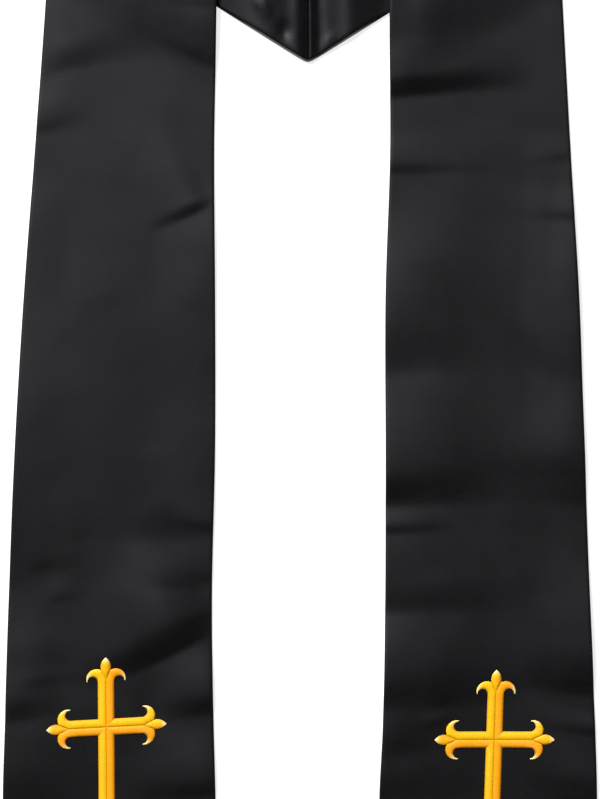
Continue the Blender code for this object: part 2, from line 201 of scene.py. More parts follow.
# Finer creases between the main ones
SMALL_CREASES = {
    "left": (
        Crease(start=(-186.0, 213.0), end=(-92.0, 229.0), bow=2.0, height=1.7, fall=26.0, swell=120.0),
        Crease(start=(-44.0, 213.0), end=(-124.0, 249.0), bow=0.0, height=1.2, fall=11.0, swell=80.0),
        Crease(start=(-196.0, 172.0), end=(-140.0, 182.0), bow=0.0, height=0.7, fall=14.0, swell=25.0),
        Crease(start=(-54.0, -104.0), end=(-95.0, -97.0), bow=0.0, height=0.8, fall=5.0, swell=26.0),
        Crease(start=(-40.0, -143.0), end=(-136.0, -134.0), bow=0.0, height=1.0, fall=14.0, swell=50.0),
        Crease(start=(-64.0, -146.0), end=(-126.0, -140.0), bow=0.0, height=0.9, fall=10.0, swell=40.0),
        Crease(start=(-196.0, -134.0), end=(-150.0, -128.0), bow=0.0, height=0.6, fall=12.0, swell=50.0),
        Crease(start=(-180.0, -154.0), end=(-140.0, -149.0), bow=0.0, height=0.4, fall=8.0, swell=16.0),
        Crease(start=(-216.0, -240.0), end=(-150.0, -230.0), bow=0.0, height=2.4, fall=24.0, swell=70.0),
        Crease(start=(-48.0, 262.0), end=(-120.0, 266.0), bow=0.0, height=0.8, fall=10.0, swell=40.0),
        Crease(start=(-40.0, 150.0), end=(-42.0, -30.0), bow=0.0, height=2.2, fall=20.0, swell=50.0),
        Crease(start=(-158.0, 150.0), end=(-162.0, -20.0), bow=0.0, height=1.4, fall=44.0, swell=30.0),
        Crease(start=(-50.0, -160.0), end=(-130.0, -192.0), bow=0.0, height=1.2, fall=12.0, swell=40.0),
        Crease(start=(-222.0, -206.0), end=(-140.0, -198.0), bow=0.0, height=0.8, fall=30.0, swell=140.0),
        Crease(start=(-96.0, -262.0), end=(-170.0, -268.0), bow=0.0, height=1.0, fall=44.0, swell=80.0),
        Crease(start=(-176.0, -146.0), end=(-110.0, -142.0), bow=0.0, height=0.8, fall=40.0, swell=60.0),
        Crease(start=(-200.0, -214.0), end=(-140.0, -210.0), bow=0.0, height=0.7, fall=12.0, swell=60.0),
    ),
    "right": (
        Crease(start=(26.0, 148.0), end=(154.0, 148.0), bow=0.0, height=0.9, fall=7.0, swell=26.0),
        Crease(start=(200.0, 160.0), end=(148.0, 150.0), bow=0.0, height=0.4, fall=6.0, swell=18.0),
        Crease(start=(206.0, 114.0), end=(143.0, 115.0), bow=0.0, height=0.7, fall=9.0, swell=22.0),
        Crease(start=(214.0, -70.0), end=(100.0, -64.0), bow=0.0, height=1.3, fall=26.0, swell=48.0),
        Crease(start=(38.0, -105.0), end=(119.0, -102.0), bow=0.0, height=1.2, fall=6.0, swell=24.0),
        Crease(start=(238.0, -250.0), end=(148.0, -240.0), bow=0.0, height=0.9, fall=7.0, swell=12.0),
        Crease(start=(80.0, -241.0), end=(119.0, -236.0), bow=0.0, height=0.6, fall=4.0, swell=8.0),
        Crease(start=(44.0, 228.0), end=(88.0, 240.0), bow=0.0, height=3.2, fall=40.0, swell=40.0),
        Crease(start=(214.0, 190.0), end=(214.0, -120.0), bow=0.0, height=1.5, fall=18.0, swell=28.0),
        Crease(start=(218.0, 80.0), end=(218.0, -120.0), bow=0.0, height=1.1, fall=18.0, swell=28.0),
        Crease(start=(230.0, -182.0), end=(160.0, -176.0), bow=0.0, height=1.3, fall=50.0, swell=60.0),
        Crease(start=(54.0, -262.0), end=(110.0, -258.0), bow=0.0, height=1.3, fall=22.0, swell=50.0),
        Crease(start=(230.0, -220.0), end=(132.0, -213.0), bow=0.0, height=1.0, fall=16.0, swell=70.0),
        Crease(start=(80.0, -231.0), end=(140.0, -225.0), bow=0.0, height=0.8, fall=18.0, swell=50.0),
        Crease(start=(240.0, -297.0), end=(140.0, -291.0), bow=0.0, height=1.2, fall=6.0, swell=40.0),
        Crease(start=(84.0, 214.0), end=(180.0, 218.0), bow=0.0, height=-1.5, fall=60.0, swell=60.0),
    ),
}

# How high the lining stands across the neck, as (x, height), and its puckers beside the centre back seam
NECK_RISES = (
    (-58.0, 0.0),
    (-42.0, 0.8),
    (-24.0, 3.0),
    (-9.0, 2.7),
    (-3.0, 3.5),
    (-1.6, 3.5),
    (4.2, 2.0),
    (5.25, 2.5),
    (13.8, 0.2),
    (16.0, 1.3),
    (28.0, 2.1),
    (33.0, 2.9),
    (35.0, 2.9),
    (58.0, 0.0),
)
NECK_EASE = 1.4
PUCKERS = (
    Pucker(x=-11.5, y=247.0, half_width=6.0, half_length=11.0, turn=-14.0, height=-1.3),
    Pucker(x=-14.0, y=243.0, half_width=2.4, half_length=6.0, turn=-40.0, height=0.4),
    Pucker(x=-26.0, y=266.0, half_width=6.5, half_length=16.0, turn=12.0, height=1.0),
    Pucker(x=-32.0, y=268.0, half_width=2.6, half_length=10.0, turn=20.0, height=0.5),
    Pucker(x=-30.0, y=302.0, half_width=9.0, half_length=20.0, turn=20.0, height=0.8),
    Pucker(x=20.0, y=240.0, half_width=5.0, half_length=9.0, turn=-20.0, height=0.5),
    Pucker(x=32.0, y=306.0, half_width=10.0, half_length=20.0, turn=-12.0, height=0.9),
    Pucker(x=14.0, y=322.0, half_width=5.0, half_length=24.0, turn=4.0, height=0.8),
)

# Broad unevenness of the laid cloth, as waves that run every way
LUMP_WAVES = 16
LUMP_LENGTHS = (22.0, 80.0)
LUMP_STEEPNESS = 0.0022
LUMP_SEED = 12

# Embroidered cross, whose arms end in a pointed leaf between two curled horns. The leaf's sections are its half
# widths at shares of its length, and its stitches begin at the share LEAF_START
ARM_WIDTH = 11.6
TOP_ARM = 49.0
SIDE_ARM = 42.0
FOOT_ARM = 104.0
FORK_BELOW_TIP = 15.5
ROOT_LENGTH = 4.5
LEAF_SECTIONS = ((0.0, 0.0), (0.437, 3.27), (0.58, 3.65), (0.77, 2.99), (0.91, 1.53), (1.0, 0.12))
LEAF_START = 0.02
CREST_HEIGHT = 1.3
GROOVE_HEIGHT = 0.45
RIM_HEIGHT = 0.3
HORN_TAPER = 3

# A leaf's crest, as a share of CREST_HEIGHT at the fork and the tip, and how fast it rises and falls
LEAF_CREST_AT_FORK = 0.35
LEAF_CREST_RISE = 2.0
LEAF_CREST_END = 1.02
LEAF_CREST_FALL = 3.0
LEAF_CREST_AT_TIP = 0.1

# Columns of satin stitches: how round they are, and how deep, slanting and uneven the stitches are. The paths
# are how far the rows of stitches run, as a share of the root's length and of the horn's radius
COLUMN_STRIPS = 8
COLUMN_ROUNDNESS = 0.7
STITCH_PITCH = 0.46
ROWS_A_STITCH = 4
STITCH_RELIEF = 0.038
STITCH_SLANT = 0.35
RELIEF_AT_RIM = 0.4
STITCH_UNEVENNESS = 0.02
UNEVEN_TURNS = (12.9898, 4.1414)
ROOT_PATH = 1.3
HORN_PATH = 2.0
MERGE_WITHIN = 0.0005

# How much painted shade a leaf gets, between the lit (0) and the shaded (1) side of an arm, and how much of a
# horn and of a leaf gets a painted pale highlight towards the tip
LEAF_SHADE = 0.4
HORN_HIGHLIGHT_PART = 0.625
LEAF_HIGHLIGHT_PART = 0.294


class Arc(NamedTuple):
    """Part of a circle beside an arm: its centre from the arm's axis and tip, and its end angles in degrees."""

    aside: float
    below_tip: float
    radius: float
    first: float
    last: float


HORN_BACK = Arc(aside=6.6, below_tip=15.0, radius=7.1, first=118.0, last=-14.0)
HORN_HOLLOW = Arc(aside=9.4, below_tip=17.0, radius=3.6, first=180.0, last=3.0)


class Satin(NamedTuple):
    """A satin's darkest and lightest colour, least and most roughness, shine and depth of weave."""

    name: str
    dark: tuple
    light: tuple
    roughness: tuple
    shine: float
    relief: float


OUTER_SATIN = Satin(
    name="satin",
    dark=(0.0008, 0.0008, 0.0011, 1.0),
    light=(0.0024, 0.0024, 0.003, 1.0),
    roughness=(0.48, 0.54),
    shine=0.275,
    relief=0.05,
)
LINING_SATIN = Satin(
    name="lining_satin",
    dark=(0.001, 0.001, 0.0013, 1.0),
    light=(0.003, 0.003, 0.0036, 1.0),
    roughness=(0.3, 0.36),
    shine=0.42,
    relief=0.02,
)
SATIN_TINT = (0.97, 0.94, 1.0, 1.0)

# Noise of the weave and of the slow clouds in its gloss, on a cloth map in metres
FLOATS_A_METRE = 2400.0
BUNDLES_A_METRE = 600.0
FLOAT_LENGTH = 1.8
FINE_SHARE = 0.35
WEAVE_DETAIL = 1.5
WEAVE_ROUGHNESS = 0.6
GRAIN_SPAN = (0.35, 0.7)
CLOUDS_A_METRE = 28.0
CLOUD_DETAIL = 3.0
CLOUD_SPAN = (0.3, 0.7)

# Gold thread with painted light: lighter on the lit and darker on the shaded side of an arm, painted brown
# shade at its outer rim, and a painted pale highlight at the tips
GOLD_LIT = (0.87, 0.48, 0.005, 1.0)
GOLD_SHADED = (0.81, 0.32, 0.003, 1.0)
GOLD_RIM_SHADE = (0.4, 0.13, 0.003, 1.0)
GOLD_TIP_HIGHLIGHT = (0.93, 0.76, 0.32, 1.0)
GOLD_ROUGHNESS = 0.5
GOLD_SHINE = 0.22
RIM_SHADE_SPAN = (0.66, 0.96)
RIM_SHADE_STRENGTH = (0.45, 0.95)
THREAD_DETAIL = 2.0
THREAD_SPAN = (0.3, 0.7)
THREAD_BRIGHTNESS = (0.86, 1.06)

# Floor, camera and light, in metres
FLOOR_REACH = 4.0
FLOOR_DROP = 0.0003
FLOOR_COLOUR = (0.4, 0.4, 0.4, 1.0)
FLOOR_GLOW = 0.8
FLOOR_ROUGHNESS = 0.9
FLOOR_SHINE = 0.1
CAMERA_HEIGHT = 2.4
SENSOR_WIDTH = 36.0
VIEW_LENGTH = 0.5593
VIEW_LEVEL = 0.0025
VIEW_CENTRE = (-0.00035, -0.01065)
LAMP_PLACE = (-2.2, 3.7, 4.1)
LAMP_SIZE = 2.5
LAMP_WATTS = 730.0
WHITE = (1.0, 1.0, 1.0, 1.0)

# Surroundings, bright at the horizon and dark overhead, that change between these heights of a unit sphere
HORIZON_SPAN = (0.1, 0.55)
HORIZON_GLOW = 0.55
OVERHEAD_GLOW = 0.02


def mix(a, b, share):
    """From a at share 0 to b at share 1."""
    return a + (b - a) * share


def ease(share):
    """0 to 1 with level ends."""
    share = np.clip(share, 0.0, 1.0)
    return share * share * (3.0 - 2.0 * share)


def steep_ease(share):
    """0 to 1 with level ends, steepest in the first third."""
    share = np.clip(share, 0.0, 1.0)
    return share * share * (6.0 - 8.0 * share + 3.0 * share * share)


def along_stations(places, values, at):
    """A smooth curve through values at rising places."""
    places, values = np.asarray(places), np.asarray(values)
    ahead = np.append(np.arange(1, len(places)), len(places) - 1)
    behind = np.append(0, np.arange(len(places) - 1))
    rises = (values[ahead] - values[behind]) / (places[ahead] - places[behind])
    at = np.clip(at, places[0], places[-1])
    lower = np.clip(np.searchsorted(places, at, side="right") - 1, 0, len(places) - 2)
    gap = places[lower + 1] - places[lower]
    share = (at - places[lower]) / gap
    square, cube = share**2, share**3
    return (
        (2 * cube - 3 * square + 1) * values[lower]
        + (cube - 2 * square + share) * gap * rises[lower]
        + (3 * square - 2 * cube) * values[lower + 1]
        + (cube - square) * gap * rises[lower + 1]
    )


def band_edge(half, y, edge):
    """How far out a band's edge lies at level y."""
    rising = half.stations[::-1]
    outs = [getattr(station, edge) for station in rising]
    return along_stations([station.y for station in rising], outs, y)


def back_edge_y(out, across):
    """The level of the back strip's upper (0) or lower (1) edge, at a distance out from the seam."""
    upright_width = BACK_WIDTH / math.cos(BACK_SLOPE)
    return BACK_POINT_Y + upright_width * (1.0 - across) + out * math.tan(BACK_SLOPE)


def fold_ends(half):
    """The shoulder fold's inner and outer ends, as (out, y)."""
    top = half.stations[0]
    inner = np.array((top.inner_out, back_edge_y(top.inner_out, 0.0)))
    outer = np.array((top.outer_out, back_edge_y(top.outer_out, 1.0)))
    return inner, outer


def crease_rise(crease, x, y):
    """The height that one crease adds at each point."""
    line = np.subtract(crease.end, crease.start)
    length = np.hypot(*line)
    along = line / length
    offset_x, offset_y = x - crease.start[0], y - crease.start[1]
    share = np.clip((offset_x * along[0] + offset_y * along[1]) / length, 0.0, 1.0)
    towards_shoulder = 1.0 if along[0] > 0.0 else -1.0
    above = (offset_y * along[0] - offset_x * along[1]) * towards_shoulder
    above = (above - crease.bow * 4.0 * share * (1.0 - share)) / mix(*CREASE_WIDENING, share)
    rising = steep_ease(above / crease.fall)
    falling = 1.0 - ease((above - crease.fall) / crease.swell)
    fading = 1.0 - ease((share - CREASE_PEAK) / (1.0 - CREASE_PEAK))
    lengthwise = ease(share / CREASE_PEAK) * fading
    return crease.height * np.where(above < crease.fall, rising, falling) * lengthwise


def front_level(half, out, y):
    """The height of the surface between the two cloths of a front band."""
    below_back = (back_edge_y(out, 1.0) - y) * math.cos(BACK_SLOPE)
    over_back = 1.0 - ease((below_back - EDGE_OVERRUN) / EDGE_SLOPE)
    inner, outer = fold_ends(half)
    along = (outer - inner) / np.hypot(*(outer - inner))
    from_fold = np.abs((out - inner[0]) * along[1] - (y - inner[1]) * along[0])
    fold_rise = BACK_LEVEL + 2.0 * FOLD_RADIUS - ON_BACK_LEVEL
    level = mix(ON_TABLE_LEVEL, ON_BACK_LEVEL, over_back)
    level = level + fold_rise * (1.0 - ease(from_fold / FOLD_EASE))
    x = SEAM_X + half.side * out
    for crease in half.creases + SMALL_CREASES[half.name]:
        level = level + crease_rise(crease, x, y)
    off_table = ease((from_fold - FOLD_EASE) / FOLD_EASE)
    return level + off_table * lumps(x, y)


def lumps(x, y):
    """The broad, slight unevenness of the laid cloth, which only raises it."""
    chance = np.random.default_rng(LUMP_SEED)
    lengths = np.linspace(*LUMP_LENGTHS, LUMP_WAVES)
    headings = chance.uniform(0.0, 2.0 * math.pi, LUMP_WAVES)
    starts = chance.uniform(0.0, 2.0 * math.pi, LUMP_WAVES)
    sizes = LUMP_STEEPNESS * lengths / (2.0 * math.pi)
    height = np.full_like(x, 2.0 * np.sqrt(np.sum(sizes**2)))
    for size, length, heading, start in zip(sizes, lengths, headings, starts):
        distance = x * math.cos(heading) + y * math.sin(heading)
        height = height + size * np.sin(2.0 * math.pi / length * distance + start)
    return np.maximum(height, 0.0)


def front_facing(half, out, y):
    """The direction square to a front band, from the slope of its level."""
    step = SLOPE_STEP
    slope_out = (front_level(half, out + step, y) - front_level(half, out - step, y)) / (2.0 * step)
    slope_y = (front_level(half, out, y + step) - front_level(half, out, y - step)) / (2.0 * step)
    facing = np.stack((-slope_out, -slope_y, np.ones_like(slope_out)), axis=-1)
    return facing / np.linalg.norm(facing, axis=-1, keepdims=True)


def back_points(half, share, across):
    """Points of the back strip and their facings, from the seam (0) to the shoulder fold (1)."""
    inner, outer = fold_ends(half)
    upper_out = mix(SEAM_START, inner[0], share)
    lower_out = mix(SEAM_START, outer[0], share)
    out = mix(upper_out, lower_out, across)
    y = mix(back_edge_y(upper_out, 0.0), back_edge_y(lower_out, 1.0), across)
    straight = out * math.tan(BACK_SLOPE)
    y = y + (np.hypot(straight, POINT_BLUNTING) - straight) * across**BLUNTING_POWER
    points = np.stack((out, y, np.full_like(out, BACK_LEVEL)), axis=-1)
    return points, np.broadcast_to(np.array((0.0, 0.0, -1.0)), points.shape)


def fold_points(half, share, across):
    """Points of the rounded shoulder fold and their facings, from the back (0) over to the front (1)."""
    inner, outer = fold_ends(half)
    along = (outer - inner) / np.hypot(*(outer - inner))
    turn = math.pi * share
    facing = np.stack((-along[1] * np.sin(turn), along[0] * np.sin(turn), -np.cos(turn)), axis=-1)
    foot_x, foot_y = mix(inner[0], outer[0], across), mix(inner[1], outer[1], across)
    foot = np.stack((foot_x, foot_y, np.full_like(foot_x, BACK_LEVEL + FOLD_RADIUS)), axis=-1)
    return foot + facing * FOLD_RADIUS, facing


def front_points(half, share, across):
    """Points of the front band and their facings, from the shoulder fold (0) to the hem (1)."""
    inner, outer = fold_ends(half)
    inner_y = mix(inner[1], HEM_Y, share)
    outer_y = mix(outer[1], HEM_Y, share)
    out = mix(band_edge(half, inner_y, "inner_out"), band_edge(half, outer_y, "outer_out"), across)
    y = mix(inner_y, outer_y, across)
    return np.stack((out, y, front_level(half, out, y)), axis=-1), front_facing(half, out, y)


def spread(length, cell, close_start=True, close_end=True):
    """Shares of a length for even cells, with closer ones where the cloth rolls over at an edge."""
    steps = np.array(CLOSE_STEPS)
    start = steps if close_start else np.array(())
    end = length - steps[::-1] if close_end else np.array(())
    low = steps[-1] if close_start else 0.0
    high = length - steps[-1] if close_end else length
    count = max(round((high - low) / cell), 1)
    middle = np.linspace(low, high, count + 1)
    return np.unique(np.concatenate(((0.0,), start, middle, end, (length,)))) / length


def edge_share(distance):
    """How far the cloth has risen from the seam round its edge, 0 to 1, at a distance from the edge."""
    share = np.clip(distance / EDGE_ROLL, 0.0, 1.0)
    return np.sqrt(1.0 - (1.0 - share) ** 2)


def neck_rise(x, y):
    """The height that the lining stands up at each point of the back strip."""
    height = along_stations(*zip(*NECK_RISES), x)
    for pucker in PUCKERS:
        turn = math.radians(pucker.turn)
        aside = (x - pucker.x) * math.cos(turn) + (y - pucker.y) * math.sin(turn)
        along = (y - pucker.y) * math.cos(turn) - (x - pucker.x) * math.sin(turn)
        reach = np.hypot(aside / pucker.half_width, along / pucker.half_length)
        height = height + pucker.height * (1.0 - ease(reach))
    return height


class Grid(NamedTuple):
    """Points of the surface between the two cloths of a half, in rows from the centre back seam to the hem.

    "Along" is a point's distance from that seam, and "aside" its distance from the row's inner end.
    """

    places: np.ndarray
    facings: np.ndarray
    along: np.ndarray
    aside: np.ndarray
    width: np.ndarray
    back_length: float
    whole_length: float


def laid_grid(half):
    """The grid of one half: its back strip, its shoulder fold and its front band."""
    inner, outer = fold_ends(half)
    back_length = np.mean((inner[0], outer[0])) / math.cos(BACK_SLOPE)
    fold_length = math.pi * FOLD_RADIUS
    front_length = np.mean((inner[1], outer[1])) - HEM_Y
    band_width = np.mean([station.outer_out - station.inner_out for station in half.stations])
    across = spread(band_width, CELL_ACROSS)
    back = spread(back_length, CELL_ALONG, close_end=False)[:-1]
    fold = np.arange(FOLD_ROWS) / FOLD_ROWS
    front = spread(front_length, CELL_ALONG, close_start=False)
    stretches = (
        (back_points, back, 0.0, back_length),
        (fold_points, fold, back_length, fold_length),
        (front_points, front, back_length + fold_length, front_length),
    )
    places, facings, alongs, widths = [], [], [], []
    for stretch, shares, start, length in stretches:
        share_grid, across_grid = np.meshgrid(shares, across, indexing="ij")
        place, facing = stretch(half, share_grid, across_grid)
        width = np.linalg.norm(place[:, -1] - place[:, 0], axis=-1)
        places.append(place)
        facings.append(facing)
        alongs.append(start + share_grid * length)
        widths.append(width[:, None] * np.ones_like(share_grid))
    places, facings, along, width = (np.concatenate(part) for part in (places, facings, alongs, widths))
    whole_length = back_length + fold_length + front_length
    return Grid(places, facings, along, across[None, :] * width, width, back_length, whole_length)


def cloth_rise(half, grid, outside):
    """How far a cloth's shell starts from the surface between the cloths, below zero for the lining."""
    from_side = np.minimum(grid.aside, grid.width - grid.aside)
    from_end = np.minimum(grid.along, grid.whole_length - grid.along)
    roll = edge_share(np.minimum(from_side, from_end))
    depth = OUTER_DEPTH if outside else LINING_DEPTH
    rise = mix(SEAM_START, depth - SHELL, roll)
    if outside:
        return rise
    x = SEAM_X + half.side * grid.places[..., 0]
    on_back = (grid.along < grid.back_length) * ease(from_side / NECK_EASE) * roll
    return -np.maximum(rise + on_back * neck_rise(x, grid.places[..., 1]), SEAM_START)


def grid_cell(vertex, last_column, last_row):
    """The column and row of a vertex of a new grid, whose sides lie 1 from its middle."""
    return round((vertex.co.x + 1.0) / 2.0 * last_column), round((vertex.co.y + 1.0) / 2.0 * last_row)


def panel(name, half, outside, finish):
    """One cloth of a half: a thin shell that rolls in at its edges to meet the other cloth."""
    grid = laid_grid(half)
    places = grid.places + grid.facings * cloth_rise(half, grid, outside)[..., None]
    places[..., 0] = SEAM_X + half.side * places[..., 0]
    last_row, last_column = places.shape[0] - 1, places.shape[1] - 1
    bm = bmesh.new()
    cloth_map = bm.loops.layers.uv.new("cloth")
    bmesh.ops.create_grid(bm, x_segments=last_column, y_segments=last_row, size=1.0)
    for vertex in bm.verts:
        column, row = grid_cell(vertex, last_column, last_row)
        vertex.co = places[row, column]
        for loop in vertex.link_loops:
            loop[cloth_map].uv = (grid.aside[row, column] * METRE, grid.along[row, column] * METRE)
    if half.side > 0:
        bmesh.ops.reverse_faces(bm, faces=bm.faces)
    piece = add_piece(name, bm, finish)
    wall = piece.modifiers.new("wall", "SOLIDIFY")
    wall.thickness = SHELL * METRE
    wall.offset = 1.0 if outside else -1.0
    return piece


def add_object(name, bm, finish):
    """Makes a finished shape an object with its material."""
    mesh = bpy.data.meshes.new(name)
    bm.to_mesh(mesh)
    bm.free()
    mesh.materials.append(finish)
    thing = bpy.data.objects.new(name, mesh)
    bpy.context.collection.objects.link(thing)
    return thing


def add_piece(name, bm, finish):
    """Scales a finished shape to metres, makes it an object and lets it ride on the stole."""
    bmesh.ops.scale(bm, vec=(METRE, METRE, METRE), verts=bm.verts)
    piece = add_object(name, bm, finish)
    piece.data.shade_smooth()
    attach(piece, "root")
    return piece


def on_arc(arc, length, share):
    """Points of a horn's edge, on an arm of the given length along +Y."""
    angle = np.radians(mix(arc.first, arc.last, share))
    x = arc.aside + arc.radius * np.cos(angle)
    return np.stack((x, length - arc.below_tip + arc.radius * np.sin(angle)), axis=-1)


def column_edges(length):
    """Half an arm along +Y: points of its inner and outer edges a quarter stitch apart, mitre to horn."""
    half_arm = ARM_WIDTH / 2
    fork = np.array((0.0, length - FORK_BELOW_TIP))
    crown, armpit = on_arc(HORN_BACK, length, 0.0), on_arc(HORN_HOLLOW, length, 0.0)
    shoulder = armpit - (0.0, ROOT_LENGTH)
    centre, corner = np.zeros(2), np.array((half_arm, half_arm))
    cell = STITCH_PITCH / ROWS_A_STITCH
    straight_length = (fork[1] + shoulder[1] - half_arm) / 2
    straight = np.linspace(0.0, 1.0, round(straight_length / cell), endpoint=False)[:, None]
    root = np.linspace(0.0, 1.0, round(ROOT_LENGTH * ROOT_PATH / cell), endpoint=False)[:, None]
    horn = np.linspace(0.0, 1.0, round(HORN_BACK.radius * HORN_PATH / cell))
    inner = (mix(centre, fork, straight), mix(fork, crown, root), on_arc(HORN_BACK, length, horn))
    outer = (mix(corner, shoulder, straight), mix(shoulder, armpit, root), on_arc(HORN_HOLLOW, length, horn))
    horn_share = np.concatenate((np.zeros(len(straight) + len(root)), horn))
    return np.concatenate(inner), np.concatenate(outer), horn_share


def leaf_edges(length):
    """The pointed leaf's left and right edges from the fork to the tip, a quarter stitch apart."""
    count = round(FORK_BELOW_TIP / STITCH_PITCH * ROWS_A_STITCH)
    share = np.linspace(LEAF_START, 1.0, count)
    half_width = along_stations(*zip(*LEAF_SECTIONS), share)
    y = length - FORK_BELOW_TIP * (1.0 - share)
    return np.stack((-half_width, y), axis=-1), np.stack((half_width, y), axis=-1), share


def leaf_crest(share):
    """The height along the middle of a leaf, from its fork (0) to its tip (1)."""
    rising = np.minimum(1.0, LEAF_CREST_AT_FORK + share * LEAF_CREST_RISE)
    falling = np.clip((LEAF_CREST_END - share) * LEAF_CREST_FALL, LEAF_CREST_AT_TIP, 1.0)
    return CREST_HEIGHT * rising * np.sqrt(falling)


class Column(NamedTuple):
    """A column of satin stitches: its edges, their heights and the crest's, and its painted shade and painted
    tip highlight.
    """

    left: np.ndarray
    right: np.ndarray
    left_height: np.ndarray
    right_height: np.ndarray
    crest: np.ndarray
    shade: float
    tip_highlight: np.ndarray


def stitched_tube(bm, layers, turn, column):
    """A padded column of satin stitches between two edges, closed underneath, in the plane of the cross."""
    last_row, last_strip = len(column.left) - 1, COLUMN_STRIPS + 3
    stitch_map, shade_layer, tip_highlight_layer = layers
    made = bmesh.ops.create_grid(bm, x_segments=last_strip, y_segments=last_row, size=1.0)["verts"]
    stitch = np.arange(last_row + 1) / ROWS_A_STITCH
    unevenness = sum(np.sin(np.floor(stitch) * turns) for turns in UNEVEN_TURNS) / len(UNEVEN_TURNS)
    for vertex in made:
        strip, row = grid_cell(vertex, last_strip, last_row)
        across = min(max(strip - 1, 0), COLUMN_STRIPS) / COLUMN_STRIPS
        if strip == last_strip:
            across = 0.0
        on_top = 1 <= strip <= COLUMN_STRIPS + 1
        place = mix(column.left[row], column.right[row], across)
        arch = (1.0 - (2.0 * across - 1.0) ** 2) ** COLUMN_ROUNDNESS
        rim = mix(column.left_height[row], column.right_height[row], across)
        rib = math.cos(2.0 * math.pi * (stitch[row] + STITCH_SLANT * across)) * STITCH_RELIEF
        height = mix(rim, column.crest[row], arch) + rib * mix(RELIEF_AT_RIM, 1.0, arch)
        height += unevenness[row] * STITCH_UNEVENNESS * arch
        vertex.co = (*place, height if on_top else 0.0)
        # The thread's painted shade and its painted pale highlight at the tips, kept on each vertex
        vertex[shade_layer] = column.shade
        vertex[tip_highlight_layer] = column.tip_highlight[row]
        for loop in vertex.link_loops:
            loop[stitch_map].uv = (across, stitch[row])
    bmesh.ops.transform(bm, matrix=turn.to_4x4(), verts=made)
    bmesh.ops.remove_doubles(bm, verts=made, dist=MERGE_WITHIN)


def on_band(half, points):
    """Points of the cross, moved out from the face of the band below them."""
    place = half.cross
    bar, stem = math.radians(place.bar_turn), math.radians(place.stem_turn)
    x = place.x + points[:, 0] * math.cos(bar) - points[:, 1] * math.sin(stem)
    y = place.y + points[:, 0] * math.sin(bar) + points[:, 1] * math.cos(stem)
    out = half.side * (x - SEAM_X)
    facing = front_facing(half, out, y) * (OUTER_DEPTH + points[:, 2])[:, None]
    level = front_level(half, out, y)
    return np.stack((x + half.side * facing[:, 0], y + facing[:, 1], level + facing[:, 2]), axis=-1)


def arm_column(length, side, shade):
    """The column on one side of an arm, from the mitre at the middle to the tip of its horn."""
    inner, outer, horn = column_edges(length)
    mirror = np.array((side, 1))
    return Column(
        left=inner * mirror,
        right=outer * mirror,
        left_height=np.where(horn > 0.0, RIM_HEIGHT, GROOVE_HEIGHT),
        right_height=np.full_like(horn, RIM_HEIGHT),
        crest=mix(CREST_HEIGHT, RIM_HEIGHT, horn**HORN_TAPER),
        shade=shade,
        tip_highlight=ease(1.0 - (1.0 - horn) / HORN_HIGHLIGHT_PART),
    )


def leaf_column(length):
    """The column of the pointed leaf between an arm's horns."""
    left, right, share = leaf_edges(length)
    rim = np.full_like(share, RIM_HEIGHT)
    tip_highlight = ease(1.0 - (1.0 - share) / LEAF_HIGHLIGHT_PART)
    return Column(left, right, rim, rim, leaf_crest(share), LEAF_SHADE, tip_highlight)


def cross(name, half, finish):
    """The raised cross: four arms that meet in mitres, stitched on the face of a band."""
    bm = bmesh.new()
    layers = (
        bm.loops.layers.uv.new("stitches"),
        bm.verts.layers.float.new("shade"),
        bm.verts.layers.float.new("pale"),
    )
    for quarter_turns, length in enumerate((TOP_ARM, SIDE_ARM, FOOT_ARM, SIDE_ARM)):
        turn = Matrix.Rotation(math.radians(90.0 * quarter_turns), 3, "Z")
        for side in (1, -1):
            faces = turn @ Vector((side, 0.0, 0.0))
            # Columns on the lower or right side of an arm get the painted shade, the others the painted lit
            # colour
            lower_or_right = faces.x > faces.y
            stitched_tube(bm, layers, turn, arm_column(length, side, 1.0 if lower_or_right else 0.0))
        stitched_tube(bm, layers, turn, leaf_column(length))
    open_edges = [edge for edge in bm.edges if edge.is_boundary]
    bmesh.ops.holes_fill(bm, edges=open_edges, sides=0)
    points = on_band(half, np.array([vertex.co for vertex in bm.verts]))
    for vertex, point in zip(bm.verts, points):
        vertex.co = point
    bmesh.ops.recalc_face_normals(bm, faces=bm.faces)
    return add_piece(name, bm, finish)


def new_finish(name):
    """A new material, with its tree of nodes and its shader."""
    finish = bpy.data.materials.new(name)
    finish.use_nodes = True
    return finish, finish.node_tree, finish.node_tree.nodes["Principled BSDF"]


def add_node(tree, kind, inputs=None, **settings):
    """A shader node with its settings, whose inputs each get a plain value or a link from another node."""
    node = tree.nodes.new(kind)
    for key, value in settings.items():
        setattr(node, key, value)
    for key, value in (inputs or {}).items():
        if isinstance(value, bpy.types.NodeSocket):
            tree.links.new(value, node.inputs[key])
        else:
            node.inputs[key].default_value = value
    return node


def mixed_colour(tree, share, first, second, **settings):
    """The colour between two others, as an output to link."""
    inputs = {0: share, 6: first, 7: second}
    return add_node(tree, "ShaderNodeMix", data_type="RGBA", inputs=inputs, **settings).outputs[2]


def spread_value(tree, value, span=(0.0, 1.0), onto=(0.0, 1.0), **settings):
    """A value in one span brought onto another, as an output to link."""
    inputs = {"Value": value, "From Min": span[0], "From Max": span[1], "To Min": onto[0], "To Max": onto[1]}
    return add_node(tree, "ShaderNodeMapRange", inputs=inputs, **settings).outputs["Result"]


